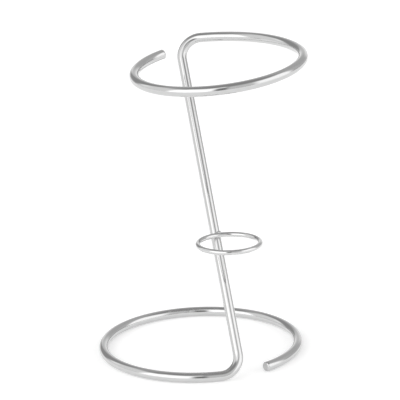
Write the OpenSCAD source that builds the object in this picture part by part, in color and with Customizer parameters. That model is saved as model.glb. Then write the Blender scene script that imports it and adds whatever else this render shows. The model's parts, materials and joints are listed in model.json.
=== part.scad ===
// Shaving brush stand bent from one round rod: an open base loop that lies on
// the table, a leaning stem, and an open top loop that rises to the right and
// to the back. A closed ring of thinner wire is welded to the front of the stem.
//
// Origin: centre of the base loop, on the table. +X right, +Y back, +Z up.
// Angles in plan are counter-clockwise from +X, seen from above.

/* [Rod] */
// Diameter of the rod (mm)
rod_d = 5; // [3:0.1:7]
// Centreline radius of the bends at both ends of the stem (mm)
bend_r = 10; // [7:0.1:14]
// Length and depth of the bevel on each free end of the rod (mm)
end_bevel = 1; // [0.3:0.1:1.2]

/* [Base loop] */
// Centreline radius of the base loop (mm)
base_r = 50; // [40:0.5:70]
// Plan angle of the base loop's free end (deg)
base_end_a = -51; // [-60:1:-20]
// Plan angle at which the base loop turns up into the stem (deg)
base_foot_a = -79; // [-95:0.5:-75]

/* [Top loop] */
// Centreline radius of the round part of the top loop (mm)
top_r = 42; // [30:0.5:55]
// Centreline radius of the flatter arc between the stem and the round part (mm)
head_r = 61; // [56:0.5:90]
// Height of the top loop's centre above the table (mm)
top_h = 148.5; // [120:0.5:200]
// Distance that the top loop's centre stands to the right of the base loop's (mm)
top_right = 13.6; // [0:0.1:25]
// Distance that the top loop's centre stands in front of the base loop's (mm)
top_front = 2.6; // [0:0.1:15]
// Rise of the top loop towards the right (deg)
top_rise_right = 5; // [0:0.1:10]
// Rise of the top loop towards the back (deg)
top_rise_back = 4.4; // [0:0.1:10]
// Loop angle at which the stem's bend runs into the head arc (deg)
top_head_a = 80; // [70:1:95]
// Loop angle at which the head arc runs into the round part (deg)
top_join_a = 16; // [0:1:40]
// Loop angle of the top loop's free end, clockwise past the front (deg)
top_end_a = -230; // [-235:1:-190]

/* [Brush ring] */
// Diameter of the ring's wire (mm)
wire_d = 2.5; // [1.5:0.1:4]
// Inside diameter of the ring (mm)
ring_id = 28.5; // [20:0.5:40]
// Height of the ring's centreline above the table (mm)
ring_h = 63; // [40:0.5:90]
// Plan angle on the ring at which it touches the stem (deg)
ring_touch_a = 110; // [95:1:130]

/* [Weld] */
// Depth by which the ring's wire is sunk into the stem (mm)
weld_sink = 0.2; // [0.1:0.05:0.4]
// Diameter of the weld bead (mm)
weld_d = 4; // [3:0.1:5]
// Thickness of the weld bead, measured from stem to ring (mm)
weld_t = 1.6; // [1:0.1:2.4]

/* [Hidden] */
$fn = 64;

// ---- small vector helpers ----
function unit(v) = v / norm(v);
function in_plan(a) = [cos(a), sin(a), 0];
function side_plan(a) = [-sin(a), cos(a), 0];
// Angle between two unit directions
function turn(a, b) = acos(max(-1, min(1, a * b)));
// Distance from a sharp corner to the start of a bend that turns from a to b
function setback(a, b) = bend_r * tan(turn(a, b) / 2);

// ---- base loop ----
rod_r = rod_d / 2;
base_c = [0, 0, rod_r];
foot_start = base_c + base_r * in_plan(base_foot_a);
foot_dir = side_plan(base_foot_a);

// ---- top loop: its plane, and its centre line as two arcs that run on smoothly ----
top_c = [top_right, -top_front, top_h];
top_n = unit([-tan(top_rise_right), -tan(top_rise_back), 1]);
top_x = unit(cross([0, 1, 0], top_n));
top_y = cross(top_n, top_x);
function on_top(v) = top_c + v[0] * top_x + v[1] * top_y;
head_c = (top_r - head_r) * [cos(top_join_a), sin(top_join_a)];
head_stop = on_top(head_c + head_r * [cos(top_head_a), sin(top_head_a)]);
head_dir = sin(top_head_a) * top_x - cos(top_head_a) * top_y;

// ---- stem: the straight line that meets both bends, found by a few rounds ----
function foot_corner(u) = foot_start + setback(foot_dir, u) * foot_dir;
function head_corner(u) = head_stop - setback(u, head_dir) * head_dir;
function stem_line(u, rounds) = rounds == 0 ? u
    : stem_line(unit(head_corner(u) - foot_corner(u)), rounds - 1);
stem_dir = stem_line(unit(head_stop - foot_start), 24);
stem_start = foot_corner(stem_dir) + setback(foot_dir, stem_dir) * stem_dir;
stem_stop = head_corner(stem_dir) - setback(stem_dir, head_dir) * stem_dir;

// ---- brush ring: level, touching the front of the stem where both run square to the contact ----
wire_r = wire_d / 2;
ring_r = (ring_id + wire_d) / 2;
touch_n = unit(cross(stem_dir, side_plan(ring_touch_a)));
touch_gap = rod_r + wire_r - weld_sink;
touch_stem_z = ring_h - touch_gap * touch_n[2];
touch_stem = stem_start + stem_dir * (touch_stem_z - stem_start[2]) / stem_dir[2];
touch_ring = touch_stem + touch_gap * touch_n;
ring_c = touch_ring - ring_r * in_plan(ring_touch_a);
weld_c = touch_stem + (rod_r - weld_sink / 2) * touch_n;

// How far the bevel cutter runs past the rod's end face, and past its side
cut_past = 0.1;
cut_wide = 0.5;

steel = [0.80, 0.81, 0.82];
polished_steel = [0.86, 0.87, 0.88];
weld_steel = [0.70, 0.70, 0.70];

// Place children at p, with their x, y and z axes along the three directions
module placed(p, x, y, z) {
    multmatrix([
        [x[0], y[0], z[0], p[0]],
        [x[1], y[1], z[1], p[1]],
        [x[2], y[2], z[2], p[2]],
        [0, 0, 0, 1]
    ])
        children();
}

// Place children at p, with their z axis along d
module along(p, d) {
    x = unit(cross(abs(d[2]) < 0.9 ? [0, 0, 1] : [1, 0, 0], d));
    placed(p, x, cross(d, x), d)
        children();
}

// Round bar bent to an arc in the XY plane, from the X axis through sweep
module arc_bar(r, bar_r, sweep) {
    rotate_extrude(angle = sweep, $fn = 180)
        translate([r, 0])
            circle(r = bar_r, $fn = 48);
}

// Bend of the rod at p, from direction a to direction b
module rod_bend(p, a, b) {
    inward = unit(b - (a * b) * a);
    placed(p + bend_r * inward, -inward, a, cross(-inward, a))
        arc_bar(bend_r, rod_r, turn(a, b));
}

// Cutter that bevels the rod's free end at p, where the rod points along d
module end_cutter(p, d) {
    along(p, d)
        rotate_extrude($fn = 96)
            polygon([
                [rod_r - end_bevel - cut_past, cut_past],
                [rod_r + cut_wide, -end_bevel - cut_wide],
                [rod_r + cut_wide, cut_past]
            ]);
}

// Straight bar that stands in for the stem where the ring and the weld are cut to fit it
module stem_bar() {
    along(stem_start, stem_dir)
        cylinder(h = norm(stem_stop - stem_start), r = rod_r);
}

module ring_bar() {
    translate(ring_c)
        rotate_extrude($fn = 180)
            translate([ring_r, 0])
                circle(r = wire_r, $fn = 32);
}

module base_loop() {
    color(steel)
        difference() {
            translate(base_c)
                rotate([0, 0, base_end_a])
                    arc_bar(base_r, rod_r, 360 + base_foot_a - base_end_a);
            end_cutter(base_c + base_r * in_plan(base_end_a), -side_plan(base_end_a));
        }
}

module foot_bend() {
    color(steel)
        rod_bend(foot_start, foot_dir, stem_dir);
}

module stem() {
    color(steel)
        stem_bar();
}

module head_bend() {
    color(steel)
        rod_bend(stem_stop, stem_dir, head_dir);
}

// Both arcs leave from where they join, one each way
module top_loop() {
    color(steel)
        placed(top_c, top_x, top_y, top_n)
            difference() {
                rotate([0, 0, top_join_a]) {
                    translate([top_r - head_r, 0, 0])
                        arc_bar(head_r, rod_r, top_head_a - top_join_a);
                    arc_bar(top_r, rod_r, top_end_a - top_join_a);
                }
                end_cutter(top_r * in_plan(top_end_a), -side_plan(top_end_a));
            }
}

module brush_ring() {
    color(polished_steel)
        difference() {
            ring_bar();
            stem_bar();
        }
}

// Rounded button of weld metal, cut to the stem on one side and to the ring on the other
module ring_weld() {
    color(weld_steel)
        difference() {
            along(weld_c, touch_n)
                rotate_extrude($fn = 48) {
                    translate([0, -weld_t / 2])
                        square([(weld_d - weld_t) / 2, weld_t]);
                    translate([(weld_d - weld_t) / 2, 0])
                        intersection() {
                            circle(r = weld_t / 2, $fn = 32);
                            translate([0, -weld_t / 2])
                                square(weld_t);
                        }
                }
            stem_bar();
            ring_bar();
        }
}

base_loop();
foot_bend();
stem();
head_bend();
top_loop();
brush_ring();
ring_weld();
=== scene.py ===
"""Shaving brush stand: one bent, polished steel rod with a small wire ring welded to its stem."""

import json
import math

import bpy
import numpy as np
from mathutils import Matrix, Vector


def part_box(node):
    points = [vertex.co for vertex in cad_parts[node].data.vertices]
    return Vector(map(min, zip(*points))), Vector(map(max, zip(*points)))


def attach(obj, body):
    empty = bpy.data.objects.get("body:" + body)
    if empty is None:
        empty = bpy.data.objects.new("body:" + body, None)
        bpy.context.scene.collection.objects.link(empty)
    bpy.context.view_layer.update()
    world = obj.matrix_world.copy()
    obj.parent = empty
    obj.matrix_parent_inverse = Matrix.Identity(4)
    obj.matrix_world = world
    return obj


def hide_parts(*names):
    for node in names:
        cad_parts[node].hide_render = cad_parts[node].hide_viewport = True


bl_info = {
    "name": "Shaving Brush Stand",
    "version": (1, 0, 0),
    "blender": (4, 5, 0),
    "location": "View3D > Sidebar > Brush Stand",
    "description": "Models a bent-rod shaving brush stand round its frame",
    "category": "Object",
}

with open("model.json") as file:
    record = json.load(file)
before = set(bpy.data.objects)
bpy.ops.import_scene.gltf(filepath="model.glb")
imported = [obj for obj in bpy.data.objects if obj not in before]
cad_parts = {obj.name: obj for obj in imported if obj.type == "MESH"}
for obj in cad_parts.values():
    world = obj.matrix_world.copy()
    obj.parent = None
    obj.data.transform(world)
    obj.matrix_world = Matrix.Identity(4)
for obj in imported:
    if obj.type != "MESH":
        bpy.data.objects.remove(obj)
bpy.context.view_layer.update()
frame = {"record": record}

MM = 0.001
UP = Vector((0, 0, 1))
MOUNTS = {mount["name"]: mount for mount in frame["record"]["mounts"]}


def height_of(flat_node):
    """Height of a node of the frame that lies flat, in metres."""
    low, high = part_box(flat_node)
    return high.z - low.z


def mount_radius(name):
    """Radius that a mount states, in metres."""
    return MOUNTS[name]["dims"]["r_mm"] * MM


# Radii are those of the bar, of the wire and of the centre lines of the loops and the ring
ROD_R = round(height_of("base_loop") / 2, 4)
WIRE_R = round(height_of("brush_ring") / 2, 5)
BASE_R = mount_radius("base_rest")
TOP_R = mount_radius("bowl_loop") + ROD_R
RING_R = mount_radius("brush_ring") + WIRE_R
TOP_C = Vector(MOUNTS["bowl_loop"]["pos_m"])
TOP_N = Vector(MOUNTS["bowl_loop"]["axis"]).normalized()
RING_C = Vector(MOUNTS["brush_ring"]["pos_m"])

# Steps of the tube: the widest turn of one step, the fewest steps in a turn and the steps of a straight
LOOP_STEP = math.radians(1.5)
BEND_STEP = math.radians(3)
WIRE_STEP = math.radians(2)
LEAST_STEPS = 8
RUN_STEPS = 24
# Rounds after which the straight between two bends has settled
SETTLE = 24

# Section of a free end: share of the end rounding's length and share of the rod's radius, from the
# bar outwards. The cut lies inside the rim's share of the radius.
NOSE = ((0.08, 0.985), (0.22, 0.945), (0.44, 0.85), (0.60, 0.68), (0.78, 0.47), (0.92, 0.26), (1.0, 0.10))
RIM = 0.86

# Reach that takes in the bar's own section, and how far off the section's plane its points may lie
NEAR_ROD = ROD_R * 1.01
OFF_PLANE = 1e-6
# How far the swept bar may end from the end of its centre line
END_ERROR = 1e-5
# Stations closer than this are the same place
SAME_PLACE = 1e-9


# ---- sizes and colours ----


class RodSettings(bpy.types.PropertyGroup):
    """Sizes of the bent rod."""

    bend_radius: bpy.props.FloatProperty(
        name="Bend radius", description="Centreline radius of the bends at both ends of the stem",
        default=0.010, min=0.005, unit="LENGTH")
    head_radius: bpy.props.FloatProperty(
        name="Head arc radius", description="Centreline radius of the flatter arc next to the head bend",
        default=0.061, min=0.03, unit="LENGTH")
    base_end: bpy.props.FloatProperty(
        name="Base end", description="Plan angle of the base loop's free end",
        default=math.radians(-51), subtype="ANGLE")
    base_foot: bpy.props.FloatProperty(
        name="Foot", description="Plan angle at which the base loop turns up into the stem",
        default=math.radians(-79), subtype="ANGLE")
    top_head: bpy.props.FloatProperty(
        name="Head", description="Loop angle at which the head bend runs into the head arc",
        default=math.radians(80), subtype="ANGLE")
    top_join: bpy.props.FloatProperty(
        name="Join", description="Loop angle at which the head arc runs into the round part",
        default=math.radians(16), subtype="ANGLE")
    top_end: bpy.props.FloatProperty(
        name="Top end", description="Loop angle of the top loop's free end, clockwise past the front",
        default=math.radians(-230), subtype="ANGLE")
    nose: bpy.props.FloatProperty(
        name="End rounding", description="Length of the rounded part of each free end",
        default=0.001, min=0.0002, unit="LENGTH")
    sides: bpy.props.IntProperty(
        name="Sides", description="Faces round the rod", default=64, min=16)


class RingSettings(bpy.types.PropertyGroup):
    """Sizes of the brush ring and of its weld."""

    touch: bpy.props.FloatProperty(
        name="Touch", description="Plan angle on the ring at which it touches the stem",
        default=math.radians(110), subtype="ANGLE")
    sides: bpy.props.IntProperty(
        name="Sides", description="Faces round the wire", default=40, min=12)
    bead_along: bpy.props.FloatProperty(
        name="Bead length", description="Half length of the weld bead along the wire",
        default=0.0012, min=0.0005, unit="LENGTH")
    bead_across: bpy.props.FloatProperty(
        name="Bead width", description="Half width of the weld bead along the stem",
        default=0.0018, min=0.0005, unit="LENGTH")
    bead_deep: bpy.props.FloatProperty(
        name="Bead depth", description="Half depth of the weld bead from stem to wire",
        default=0.0016, min=0.0003, unit="LENGTH")
    bead_shift: bpy.props.FloatVectorProperty(
        name="Bead shift", description="Place of the bead from the wire's middle at the touching "
        "point: along the wire, up the stem and away from the stem",
        default=(-0.0011, 0.0006, -0.0004), subtype="TRANSLATION", unit="LENGTH")


class FinishSettings(bpy.types.PropertyGroup):
    """Colours of the metal and of the floor."""

    bar: bpy.props.StringProperty(
        name="Bar", description="Colour of the polished bar, sRGB hex", default="#D1D1D1")
    wire: bpy.props.StringProperty(
        name="Wire", description="Colour of the polished ring wire, sRGB hex", default="#D8D8D8")
    cut: bpy.props.StringProperty(
        name="Cut end", description="Colour of the cut ends, sRGB hex", default="#D8D8D8")
    bead: bpy.props.StringProperty(
        name="Weld bead", description="Colour of the weld bead, sRGB hex", default="#E6E6E6")
    floor: bpy.props.StringProperty(
        name="Floor", description="Colour of the floor, sRGB hex", default="#F4F4F4")


class StudioSettings(bpy.types.PropertyGroup):
    """Where the camera stands and how bright the studio is."""

    distance: bpy.props.FloatProperty(
        name="Distance", description="Distance from the camera to the point it looks at",
        default=1.0, min=0.2, unit="LENGTH")
    tilt: bpy.props.FloatProperty(
        name="Tilt", description="Angle at which the camera looks down",
        default=math.radians(15.70), subtype="ANGLE")
    roll: bpy.props.FloatProperty(
        name="Roll", description="Turn of the camera about its own line of sight",
        default=math.radians(-2.0), subtype="ANGLE")
    aim: bpy.props.FloatVectorProperty(
        name="Aim", description="Point that the camera looks at",
        default=(0.0022, 0.0, 0.0789), subtype="TRANSLATION", unit="LENGTH")
    lens: bpy.props.FloatProperty(
        name="Lens", description="Focal length on a sensor 36 mm wide (mm)",
        default=178.3, min=20)
    dome: bpy.props.FloatProperty(
        name="Room", description="Brightness of the room round the stand",
        default=1.15, min=0)
    scrim: bpy.props.FloatProperty(
        name="Top scrim", description="Strength of the broad light from above (W/m2)",
        default=0.35, min=0)
    # The floor's glow is painted light: no lamp lies below the floor, the glow keeps it white and keeps the
    # shadows on it faint
    floor_glow: bpy.props.FloatProperty(
        name="Painted floor glow", description="Brightness of the floor's own glow from below",
        default=0.36, min=0)


class StandSettings(bpy.types.PropertyGroup):
    """All settings of the brush stand."""

    rod: bpy.props.PointerProperty(type=RodSettings)
    ring: bpy.props.PointerProperty(type=RingSettings)
    finish: bpy.props.PointerProperty(type=FinishSettings)
    studio: bpy.props.PointerProperty(type=StudioSettings)


def settings():
    """The stand's settings in this scene."""
    return bpy.context.scene.brush_stand


# ---- the rod's centre line ----


def in_plan(angle):
    """Level direction at a plan angle."""
    return Vector((math.cos(angle), math.sin(angle), 0))


def turned(vector, axis, angle):
    """The vector, turned about an axis."""
    return Matrix.Rotation(angle, 3, axis) @ vector


class Turn:
    """Stretch of the rod that is bent round a centre."""

    def __init__(self, centre, axis, angle, step):
        self.centre, self.axis, self.angle = centre, axis, angle
        self.count = max(LEAST_STEPS, math.ceil(abs(angle) / step))

    def move(self, share, point, side):
        """Where a point and a side direction at the start have got to after a share of the turn."""
        spun = Matrix.Rotation(self.angle * share, 3, self.axis)
        return self.centre + spun @ (point - self.centre), spun @ side

    def length(self, point):
        """Length of the stretch when it starts at a point."""
        return abs(self.angle) * (point - self.centre).length


class Run:
    """Straight stretch of the rod."""

    def __init__(self, along):
        self.along, self.count = along, RUN_STEPS

    def move(self, share, point, side):
        """Where a point and a side direction at the start have got to after a share of the run."""
        return point + self.along * share, side

    def length(self, point):
        """Length of the stretch, the same from any point."""
        return self.along.length


def bend_between(start, before, after, radius):
    """Turn that leaves start along before and ends along after."""
    inward = (after - before.dot(after) * before).normalized()
    return Turn(start + radius * inward, before.cross(after).normalized(), before.angle(after), BEND_STEP)


def tangent_line(low, low_dir, high, high_dir, radius):
    """Straight between two bends of one radius, the one leaving low and the other reaching high.

    Gives its start, its stop and its direction.
    """
    run_dir = (high - low).normalized()
    for _ in range(SETTLE):
        low_reach = radius * math.tan(low_dir.angle(run_dir) / 2)
        high_reach = radius * math.tan(run_dir.angle(high_dir) / 2)
        low_corner = low + low_reach * low_dir
        high_corner = high - high_reach * high_dir
        run_dir = (high_corner - low_corner).normalized()
    return low_corner + low_reach * run_dir, high_corner - high_reach * run_dir, run_dir


def rod_path():
    """Start point, start direction and stretches of the rod, and the direction of its stem.

    The rod is followed from the base loop's free end to the top loop's.
    """
    s = settings().rod
    centre = Vector((0, 0, ROD_R))
    start = centre + BASE_R * in_plan(s.base_end)
    start_dir = turned(in_plan(s.base_end), UP, math.pi / 2)
    foot_start = centre + BASE_R * in_plan(s.base_foot)
    foot_dir = turned(in_plan(s.base_foot), UP, math.pi / 2)

    loop_x = Vector((0, 1, 0)).cross(TOP_N).normalized()
    loop_y = TOP_N.cross(loop_x)

    def loop_dir(angle):
        """Direction in the top loop's plane at an angle from its right."""
        return math.cos(angle) * loop_x + math.sin(angle) * loop_y

    head_centre = TOP_C + (TOP_R - s.head_radius) * loop_dir(s.top_join)
    head_stop = head_centre + s.head_radius * loop_dir(s.top_head)
    head_dir = turned(loop_dir(s.top_head), TOP_N, -math.pi / 2)
    stem_start, stem_stop, stem_dir = tangent_line(
        foot_start, foot_dir, head_stop, head_dir, s.bend_radius)
    stretches = [
        Turn(centre, UP, math.tau + s.base_foot - s.base_end, LOOP_STEP),
        bend_between(foot_start, foot_dir, stem_dir, s.bend_radius),
        Run(stem_stop - stem_start),
        bend_between(stem_stop, stem_dir, head_dir, s.bend_radius),
        Turn(head_centre, TOP_N, s.top_join - s.top_head, LOOP_STEP),
        Turn(TOP_C, TOP_N, s.top_end - s.top_join, LOOP_STEP),
    ]
    return start, start_dir, stretches, stem_dir


def leave_room(start, start_dir, stretches, nose):
    """Takes the length that the rounded ends add back off both ends of the bar, and gives its start."""
    first, last = stretches[0], stretches[-1]
    back = nose / BASE_R
    first.angle -= back
    last.angle += nose / TOP_R
    return first.centre + turned(start - first.centre, first.axis, back), turned(start_dir, first.axis, back)


# ---- modelling helpers ----


def deselect():
    """Nothing selected and nothing active."""
    if bpy.context.object and bpy.context.object.mode != "OBJECT":
        bpy.ops.object.mode_set(mode="OBJECT")
    bpy.ops.object.select_all(action="DESELECT")


def select_only(piece):
    """The piece alone is selected and active."""
    deselect()
    piece.select_set(True)
    bpy.context.view_layer.objects.active = piece


def named(name):
    """The object just added, renamed, with its place moved into its mesh."""
    piece = bpy.context.object
    piece.name = name
    piece.data.name = name
    bpy.ops.object.transform_apply(location=True, rotation=True, scale=True)
    return piece


def pick_points(piece, wanted):
    """In edit mode, selects the vertices whose place passes the test."""
    bpy.ops.object.mode_set(mode="OBJECT")
    for edge in piece.data.edges:
        edge.select = False
    for face in piece.data.polygons:
        face.select = False
    for vertex in piece.data.vertices:
        vertex.select = wanted(vertex.co)
    bpy.ops.object.mode_set(mode="EDIT")
    bpy.ops.mesh.select_mode(type="VERT")


def selected_points(piece):
    """Vertices that are selected in edit mode."""
    bpy.ops.object.mode_set(mode="OBJECT")
    found = [v for v in piece.data.vertices if v.select]
    bpy.ops.object.mode_set(mode="EDIT")
    return found


def add_round(name, centre, along, radius, sides):
    """Open circle of points round a centre, square to a direction, in edit mode."""
    deselect()
    bpy.ops.mesh.primitive_circle_add(
        vertices=sides, radius=radius, fill_type="NOTHING", location=centre,
        rotation=along.to_track_quat("Z", "Y").to_euler())
    piece = named(name)
    bpy.ops.object.mode_set(mode="EDIT")
    bpy.ops.mesh.select_all(action="SELECT")
    return piece


def follow(stretch):
    """Carries the selected circle along one stretch of the rod."""
    if isinstance(stretch, Run):
        for _ in range(stretch.count):
            bpy.ops.mesh.extrude_region_move(
                TRANSFORM_OT_translate={"value": stretch.along / stretch.count})
    else:
        bpy.ops.mesh.spin(
            steps=stretch.count, angle=-stretch.angle, center=stretch.centre, axis=stretch.axis)


def round_end(piece, centre, outward, nose):
    """Draws the open end in over its rim and a slightly domed cut, and closes it."""
    pick_points(piece, lambda co: (co - centre).length < NEAR_ROD
                and abs((co - centre).dot(outward)) < OFF_PLANE)
    at, width = centre.copy(), 1.0
    for reach, inner in NOSE:
        goal = centre + outward * nose * reach
        bpy.ops.mesh.extrude_region_move(TRANSFORM_OT_translate={"value": goal - at})
        share = inner / width
        bpy.ops.transform.resize(value=(share, share, share), center_override=goal)
        at, width = goal, inner
    bpy.ops.mesh.edge_face_add()


def mark_cut_ends(rod, ends):
    """Gives the rod's second material to the faces inside the rim of each end."""
    for face in rod.data.polygons:
        for centre, outward in ends:
            offset = face.center - centre
            ahead = offset.dot(outward)
            in_rim = (offset - ahead * outward).length < RIM * ROD_R
            if offset.length < 2 * ROD_R and ahead > 0 and in_rim:
                face.material_index = 1


def stations_along(start, stretches):
    """Places on the centre line, each with a side direction and the length gone from the start."""
    stations = []
    gone, point, side = 0.0, start, UP
    for stretch in stretches:
        for k in range(stretch.count + 1):
            share = k / stretch.count
            at, out = stretch.move(share, point, side)
            stations.append((at, out, gone + share * stretch.length(point)))
        gone += stretch.length(point)
        point, side = stretch.move(1.0, point, side)
    return stations


def nearest_of(places, coords, block=2000):
    """Which of the places is nearest to each point, worked out a block of points at a time."""
    nearest = np.empty(len(coords), int)
    for first in range(0, len(coords), block):
        some = coords[first:first + block]
        nearest[first:first + block] = ((some[:, None] - places[None]) ** 2).sum(2).argmin(1)
    return nearest


def place_on_path(piece, start, stretches):
    """UV map that runs along the rod in metres and once round it, for the drawing lines."""
    stations = stations_along(start, stretches)
    places = np.array([at for at, _, _ in stations])
    coords = np.array([v.co for v in piece.data.vertices])
    # Where two stretches meet, two stations share a place and the step before gives the direction
    ahead = np.roll(places, -1, axis=0) - places
    ahead[-1] = ahead[-2]
    around, along = [], []
    for co, k in zip(coords, nearest_of(places, coords)):
        at, out, far = stations[k]
        step = ahead[k] if np.linalg.norm(ahead[k]) > SAME_PLACE else ahead[k - 1]
        forward = Vector(step).normalized()
        offset = Vector(co) - at
        flat = offset - offset.dot(forward) * forward
        third = forward.cross(out)
        around.append(math.atan2(flat.dot(third), flat.dot(out)) / math.tau % 1.0)
        along.append(far + offset.dot(forward))
    layer = piece.data.uv_layers.new(name="along_rod")
    for face in piece.data.polygons:
        turns = [around[piece.data.loops[i].vertex_index] for i in face.loop_indices]
        wrap = max(turns) - min(turns) > 0.5
        for i, turn in zip(face.loop_indices, turns):
            layer.data[i].uv = (along[piece.data.loops[i].vertex_index],
                                turn + 1.0 if wrap and turn < 0.5 else turn)


# ---- materials ----


def linear(hex_colour):
    """sRGB hex as linear RGBA."""
    parts = [int(hex_colour[i:i + 2], 16) / 255 for i in (1, 3, 5)]
    return tuple(c / 12.92 if c <= 0.04045 else ((c + 0.055) / 1.055) ** 2.4 for c in parts) + (1.0,)


def dimmed(hex_colour, share):
    """The colour's share of its own brightness, as linear RGBA."""
    return tuple(share * c for c in linear(hex_colour)[:3]) + (1.0,)


def node(tree, kind, inputs=None, **fields):
    """Adds a node, sets its fields and fills or links its inputs."""
    made = tree.nodes.new(kind)
    for field, value in fields.items():
        setattr(made, field, value)
    for key, value in (inputs or {}).items():
        if isinstance(value, bpy.types.NodeSocket):
            tree.links.new(value, made.inputs[key])
        else:
            made.inputs[key].default_value = value
    return made


def new_material(name):
    """Empty material with its output and its node tree."""
    material = bpy.data.materials.new(name)
    material.use_nodes = True
    tree = material.node_tree
    tree.nodes.clear()
    return material, tree, node(tree, "ShaderNodeOutputMaterial")


def metal(tree, out, tone, rough, bump):
    """Bare metal with a colour, a roughness and a bump that vary over it."""
    shader = node(tree, "ShaderNodeBsdfPrincipled", {
        "Base Color": tone.outputs["Result"], "Metallic": 1.0,
        "Roughness": rough.outputs["Result"], "Normal": bump.outputs["Normal"]})
    tree.links.new(shader.outputs["BSDF"], out.inputs["Surface"])


def polished_bar(name, colour, lines_round, scuff_size):
    """Drawn stainless bar, barrel-polished and buffed.

    The eye sees a near mirror with very fine lines left along the bar by the drawing die, and
    soft patches where the mop has left the surface a little less bright.
    """
    material, tree, out = new_material(name)
    uv = node(tree, "ShaderNodeUVMap", uv_map="along_rod")
    # Drawing lines: about 70 mm long, with the given number of them round the bar
    stretch = node(tree, "ShaderNodeMapping", {
        "Vector": uv.outputs["UV"], "Scale": (14.0, lines_round, 1.0)})
    lines = node(tree, "ShaderNodeTexNoise", {
        "Vector": stretch.outputs["Vector"], "Scale": 1.0, "Detail": 3.0, "Roughness": 0.6})
    place = node(tree, "ShaderNodeTexCoord")
    patches = node(tree, "ShaderNodeTexNoise", {
        "Vector": place.outputs["Object"], "Scale": 1.0 / scuff_size, "Detail": 4.0, "Roughness": 0.55})
    mix = node(tree, "ShaderNodeMath", {
        0: lines.outputs["Fac"], 1: patches.outputs["Fac"]}, operation="ADD")
    rough = node(tree, "ShaderNodeMapRange", {
        "Value": mix.outputs["Value"], "From Min": 0.7, "From Max": 1.3, "To Min": 0.03, "To Max": 0.09})
    tone = node(tree, "ShaderNodeMix", {
        "Factor": patches.outputs["Fac"], "A": linear(colour), "B": dimmed(colour, 0.93)},
        data_type="RGBA")
    bump = node(tree, "ShaderNodeBump", {
        "Height": lines.outputs["Fac"], "Strength": 0.05, "Distance": 0.00005})
    metal(tree, out, tone, rough, bump)
    return material


def cut_steel(name, colour):
    """Steel cut through by a shear and tumbled.

    The eye sees a duller grey disc with short tear marks one way.
    """
    material, tree, out = new_material(name)
    place = node(tree, "ShaderNodeTexCoord")
    # Tear marks: about 1 mm long and 0.5 mm apart
    stretch = node(tree, "ShaderNodeMapping", {
        "Vector": place.outputs["Object"], "Rotation": (0.4, 0.3, 0.9), "Scale": (900.0, 1900.0, 900.0)})
    marks = node(tree, "ShaderNodeTexNoise", {
        "Vector": stretch.outputs["Vector"], "Scale": 1.0, "Detail": 3.0, "Roughness": 0.6})
    rough = node(tree, "ShaderNodeMapRange", {
        "Value": marks.outputs["Fac"], "To Min": 0.28, "To Max": 0.48})
    tone = node(tree, "ShaderNodeMix", {
        "Factor": marks.outputs["Fac"], "A": dimmed(colour, 0.55), "B": linear(colour)},
        data_type="RGBA")
    bump = node(tree, "ShaderNodeBump", {
        "Height": marks.outputs["Fac"], "Strength": 0.7, "Distance": 0.00015})
    metal(tree, out, tone, rough, bump)
    return material


def weld_metal(name, colour):
    """Weld metal polished over with the stand.

    The eye sees a bright lump, a little uneven, with dull specks in its hollows.
    """
    material, tree, out = new_material(name)
    place = node(tree, "ShaderNodeTexCoord")
    # Lumps left by the melt: 0.6 mm across
    lumps = node(tree, "ShaderNodeTexNoise", {
        "Vector": place.outputs["Object"], "Scale": 1700.0, "Detail": 3.0, "Roughness": 0.5})
    rough = node(tree, "ShaderNodeMapRange", {
        "Value": lumps.outputs["Fac"], "From Min": 0.35, "From Max": 0.65, "To Min": 0.38,
        "To Max": 0.2})
    tone = node(tree, "ShaderNodeMix", {
        "Factor": lumps.outputs["Fac"], "A": dimmed(colour, 0.7), "B": linear(colour)},
        data_type="RGBA")
    bump = node(tree, "ShaderNodeBump", {
        "Height": lumps.outputs["Fac"], "Strength": 0.6, "Distance": 0.0001})
    metal(tree, out, tone, rough, bump)
    return material


def painted_glow_floor(name, colour, glow):
    """Matt white floor that glows by itself: painted light that keeps it an even pale ground, keeps the
    shadows on it faint and shows bright in the metal.
    """
    material, tree, out = new_material(name)
    place = node(tree, "ShaderNodeTexCoord")
    # Grain of the sheet: 0.5 mm
    tooth = node(tree, "ShaderNodeTexNoise", {
        "Vector": place.outputs["Object"], "Scale": 2000.0, "Detail": 2.0})
    tone = node(tree, "ShaderNodeMix", {
        "Factor": tooth.outputs["Fac"], "A": linear(colour), "B": dimmed(colour, 0.985)},
        data_type="RGBA")
    # The emission is painted light: the floor glows with no lamp to light it
    shader = node(tree, "ShaderNodeBsdfPrincipled", {
        "Base Color": tone.outputs["Result"], "Roughness": 0.9, "Specular IOR Level": 0.1,
        "Emission Color": tone.outputs["Result"], "Emission Strength": glow})
    tree.links.new(shader.outputs["BSDF"], out.inputs["Surface"])
    return material


# ---- pieces ----


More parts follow.
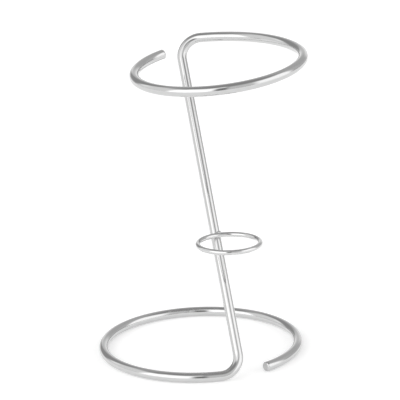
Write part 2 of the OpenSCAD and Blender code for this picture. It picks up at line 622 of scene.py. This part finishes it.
class STAND_OT_bent_rod(bpy.types.Operator):
    """Model the rod: base loop, foot bend, stem, head bend and top loop in one bar"""

    bl_idname = "brush_stand.bent_rod"
    bl_label = "Bent rod"

    def execute(self, context):
        s = settings()
        start, start_dir, stretches, _ = rod_path()
        start, start_dir = leave_room(start, start_dir, stretches, s.rod.nose)
        rod = add_round("bent_rod", start, start_dir, ROD_R, s.rod.sides)
        stop, stop_dir = start, start_dir
        for stretch in stretches:
            follow(stretch)
            stop, stop_dir = stretch.move(1.0, stop, stop_dir)
        reached = sum((v.co for v in selected_points(rod)), Vector()) / s.rod.sides
        if (reached - stop).length > END_ERROR:
            raise RuntimeError(f"the rod ends at {reached}, not at {stop}")
        ends = ((start, -start_dir), (stop, stop_dir))
        for centre, outward in ends:
            round_end(rod, centre, outward, s.rod.nose)
        bpy.ops.mesh.select_all(action="SELECT")
        bpy.ops.mesh.remove_doubles(threshold=1e-7)
        bpy.ops.mesh.normals_make_consistent(inside=False)
        bpy.ops.object.mode_set(mode="OBJECT")
        place_on_path(rod, start, stretches)
        rod.data.materials.append(polished_bar(
            "polished_stainless_bar", s.finish.bar, lines_round=90.0, scuff_size=0.006))
        rod.data.materials.append(cut_steel("sheared_steel_end", s.finish.cut))
        mark_cut_ends(rod, ends)
        select_only(rod)
        bpy.ops.object.shade_smooth_by_angle(angle=math.radians(35))
        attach(rod, "root")
        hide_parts("base_loop", "foot_bend", "stem", "head_bend", "top_loop")
        return {"FINISHED"}


class STAND_OT_brush_ring(bpy.types.Operator):
    """Model the closed ring of wire that the brush hangs in"""

    bl_idname = "brush_stand.brush_ring"
    bl_label = "Brush ring"

    def execute(self, context):
        s = settings()
        start = RING_C + RING_R * in_plan(s.ring.touch)
        start_dir = turned(in_plan(s.ring.touch), UP, math.pi / 2)
        whole = Turn(RING_C, UP, math.tau, WIRE_STEP)
        ring = add_round("brush_ring_wire", start, start_dir, WIRE_R, s.ring.sides)
        follow(whole)
        bpy.ops.mesh.select_all(action="SELECT")
        bpy.ops.mesh.remove_doubles(threshold=1e-6)
        bpy.ops.mesh.normals_make_consistent(inside=False)
        bpy.ops.object.mode_set(mode="OBJECT")
        place_on_path(ring, start, [whole])
        ring.data.materials.append(polished_bar(
            "polished_stainless_wire", s.finish.wire, lines_round=60.0, scuff_size=0.004))
        select_only(ring)
        bpy.ops.object.shade_smooth()
        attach(ring, "root")
        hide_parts("brush_ring")
        return {"FINISHED"}


class STAND_OT_ring_weld(bpy.types.Operator):
    """Model the weld bead between the ring and the stem"""

    bl_idname = "brush_stand.ring_weld"
    bl_label = "Ring weld"

    def execute(self, context):
        s = settings()
        _, _, _, stem_dir = rod_path()
        touch = RING_C + RING_R * in_plan(s.ring.touch)
        wire_dir = turned(in_plan(s.ring.touch), UP, math.pi / 2)
        normal = stem_dir.cross(wire_dir).normalized()
        across = normal.cross(wire_dir)
        along, up, out = s.ring.bead_shift
        centre = touch + along * wire_dir + up * math.copysign(1, across.z) * across + out * normal
        deselect()
        bpy.ops.mesh.primitive_uv_sphere_add(segments=64, ring_count=32, radius=1.0)
        bead = bpy.context.object
        bead.scale = (s.ring.bead_along, s.ring.bead_across, s.ring.bead_deep)
        bead.rotation_mode = "QUATERNION"
        bead.rotation_quaternion = Matrix((wire_dir, across, normal)).transposed().to_quaternion()
        bead.location = centre
        named("ring_weld_bead")
        bpy.ops.object.mode_set(mode="EDIT")
        bpy.ops.mesh.select_all(action="SELECT")
        bpy.ops.transform.vertex_random(offset=0.00012, uniform=0.0, normal=1.0, seed=4)
        bpy.ops.mesh.vertices_smooth(factor=0.5, repeat=3)
        bpy.ops.mesh.normals_make_consistent(inside=False)
        bpy.ops.object.mode_set(mode="OBJECT")
        bead.data.materials.append(weld_metal("polished_weld_metal", s.finish.bead))
        select_only(bead)
        bpy.ops.object.shade_smooth()
        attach(bead, "root")
        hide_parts("ring_weld")
        return {"FINISHED"}


# ---- studio ----


# Panels of the room: plan angle of the middle (0 towards the camera, to the right positive), half
# width, lower and upper edge above eye level, softness of the edges (all degrees), and brightness
PANELS = (
    ("left wall", -92, 30, -90, 52, 14, 1.06),
    ("right back wall", 125, 28, -90, 50, 14, 0.68),
    ("upper back wall", 180, 56, 13, 60, 12, 0.60),
    ("back wall", 180, 26, -90, 19, 16, 1.04),
    ("back left corner", -146, 18, 5, 50, 10, 0.40),
    ("left corner lamp", -117, 6, 16, 34, 6, 1.25),
    ("wall beside the camera", 24, 20, -90, 50, 10, 0.84),
    ("right soft box", 73, 28, -90, 48, 16, 1.62),
    ("left soft box", -41, 29, -90, 47, 10, 1.90),
    ("left soft box hood", -31, 33, 44, 59, 8, 1.40),
    ("gap at the camera", -1, 7, -90, 43, 8, 0.30),
)


def white_room(brightness):
    """Room with a soft box on each side of the camera, pale walls and a grey ceiling."""
    world = bpy.data.worlds.new("white_room")
    bpy.context.scene.world = world
    world.use_nodes = True
    tree = world.node_tree
    tree.nodes.clear()
    out = node(tree, "ShaderNodeOutputWorld")
    place = node(tree, "ShaderNodeTexCoord")
    parts = node(tree, "ShaderNodeSeparateXYZ", {"Vector": place.outputs["Generated"]})

    def worked_out(kind, *values):
        """Result of one step of arithmetic."""
        made = node(tree, "ShaderNodeMath", dict(enumerate(values)), operation=kind)
        return made.outputs["Value"]

    def edge(value, low, high):
        """Soft step from 0 at low to 1 at high."""
        made = node(tree, "ShaderNodeMapRange", {"Value": value, "From Min": low, "From Max": high},
                    interpolation_type="SMOOTHSTEP")
        return made.outputs["Result"]

    degree = math.degrees(1)
    height = worked_out("MULTIPLY", worked_out("ARCSINE", parts.outputs["Z"]), degree)
    to_camera = worked_out("MULTIPLY", parts.outputs["Y"], -1.0)
    plan = worked_out("MULTIPLY", worked_out("ARCTAN2", parts.outputs["X"], to_camera), degree)
    # Between the panels the room fades from the walls to the ceiling
    glow = node(tree, "ShaderNodeMapRange", {
        "Value": height, "From Min": 20.0, "From Max": 72.0, "To Min": 0.90, "To Max": 0.38},
        interpolation_type="SMOOTHSTEP").outputs["Result"]
    for _, middle, half, low, high, soft, level in PANELS:
        turn = worked_out("WRAP", worked_out("SUBTRACT", plan, float(middle)), 180.0, -180.0)
        off = worked_out("ABSOLUTE", turn)
        between = worked_out("MULTIPLY", edge(height, high + soft / 2, high - soft / 2),
                             edge(height, low - soft / 2, low + soft / 2))
        inside = worked_out("MULTIPLY", edge(off, half + soft / 2, half - soft / 2), between)
        glow = node(tree, "ShaderNodeMix", {"Factor": inside, "A": glow, "B": float(level)},
                    data_type="FLOAT").outputs["Result"]
    back = node(tree, "ShaderNodeBackground", {
        "Strength": worked_out("MULTIPLY", glow, brightness)})
    tree.links.new(back.outputs["Background"], out.inputs["Surface"])


def top_scrim(strength, spread):
    """Broad soft light from above and behind that lights the floor and stays out of the metal."""
    deselect()
    bpy.ops.object.light_add(type="SUN", location=(-0.5, 0.5, 1.0))
    scrim = bpy.context.object
    scrim.name = "top_scrim"
    scrim.data.energy = strength
    scrim.data.angle = spread
    scrim.visible_glossy = False
    scrim.rotation_mode = "QUATERNION"
    scrim.rotation_quaternion = Vector((0.5, -0.45, -1.0)).to_track_quat("-Z", "Y")


class STAND_OT_studio(bpy.types.Operator):
    """Set up the floor, the soft studio light and the camera"""

    bl_idname = "brush_stand.studio"
    bl_label = "Studio"

    def execute(self, context):
        s = settings()
        deselect()
        bpy.ops.mesh.primitive_grid_add(
            x_subdivisions=4, y_subdivisions=4, size=8.0, location=(0, 2.0, 0))
        floor = named("floor")
        floor.data.materials.append(painted_glow_floor("matt_white_floor_painted_glow", s.finish.floor, s.studio.floor_glow))
        white_room(s.studio.dome)
        top_scrim(s.studio.scrim, math.radians(70))

        tilt, roll = s.studio.tilt, s.studio.roll
        forward = Vector((0, math.cos(tilt), -math.sin(tilt)))
        right = Vector((1, 0, 0))
        up = right.cross(forward)
        right, up = (math.cos(roll) * right + math.sin(roll) * up,
                     math.cos(roll) * up - math.sin(roll) * right)
        deselect()
        bpy.ops.object.camera_add(location=Vector(s.studio.aim) - s.studio.distance * forward)
        camera = bpy.context.object
        camera.name = "camera"
        camera.rotation_mode = "QUATERNION"
        camera.rotation_quaternion = Matrix((right, up, -forward)).transposed().to_quaternion()
        camera.data.sensor_width = 36
        camera.data.lens = s.studio.lens
        camera.data.clip_start, camera.data.clip_end = 0.05, 50
        context.scene.camera = camera
        context.scene.view_settings.view_transform = "Standard"
        return {"FINISHED"}


class STAND_PT_panel(bpy.types.Panel):
    """Lists the stand's pieces and settings"""

    bl_idname = "STAND_PT_panel"
    bl_label = "Brush Stand"
    bl_space_type = "VIEW_3D"
    bl_region_type = "UI"
    bl_category = "Brush Stand"

    def draw(self, context):
        """Each group of settings in a box, with the buttons that use it."""
        s = settings()
        for group, operators in (
            (s.rod, ("brush_stand.bent_rod",)),
            (s.ring, ("brush_stand.brush_ring", "brush_stand.ring_weld")),
            (s.finish, ()),
            (s.studio, ("brush_stand.studio",)),
        ):
            box = self.layout.box()
            for field in group.bl_rna.properties:
                if not field.is_readonly and field.identifier != "name":
                    box.prop(group, field.identifier)
            for operator in operators:
                box.operator(operator)


CLASSES = (
    RodSettings, RingSettings, FinishSettings, StudioSettings, StandSettings,
    STAND_OT_bent_rod, STAND_OT_brush_ring, STAND_OT_ring_weld, STAND_OT_studio, STAND_PT_panel,
)


def register():
    """Makes the classes known to Blender and gives each scene the stand's settings."""
    for each in CLASSES:
        bpy.utils.register_class(each)
    bpy.types.Scene.brush_stand = bpy.props.PointerProperty(type=StandSettings)


def unregister():
    """Takes the settings and the classes away again."""
    del bpy.types.Scene.brush_stand
    for each in reversed(CLASSES):
        bpy.utils.unregister_class(each)


def main():
    """Makes the stand and the studio."""
    register()
    bpy.ops.brush_stand.studio()
    bpy.ops.brush_stand.bent_rod()
    bpy.ops.brush_stand.brush_ring()
    bpy.ops.brush_stand.ring_weld()


if __name__ == "__main__":
    main()
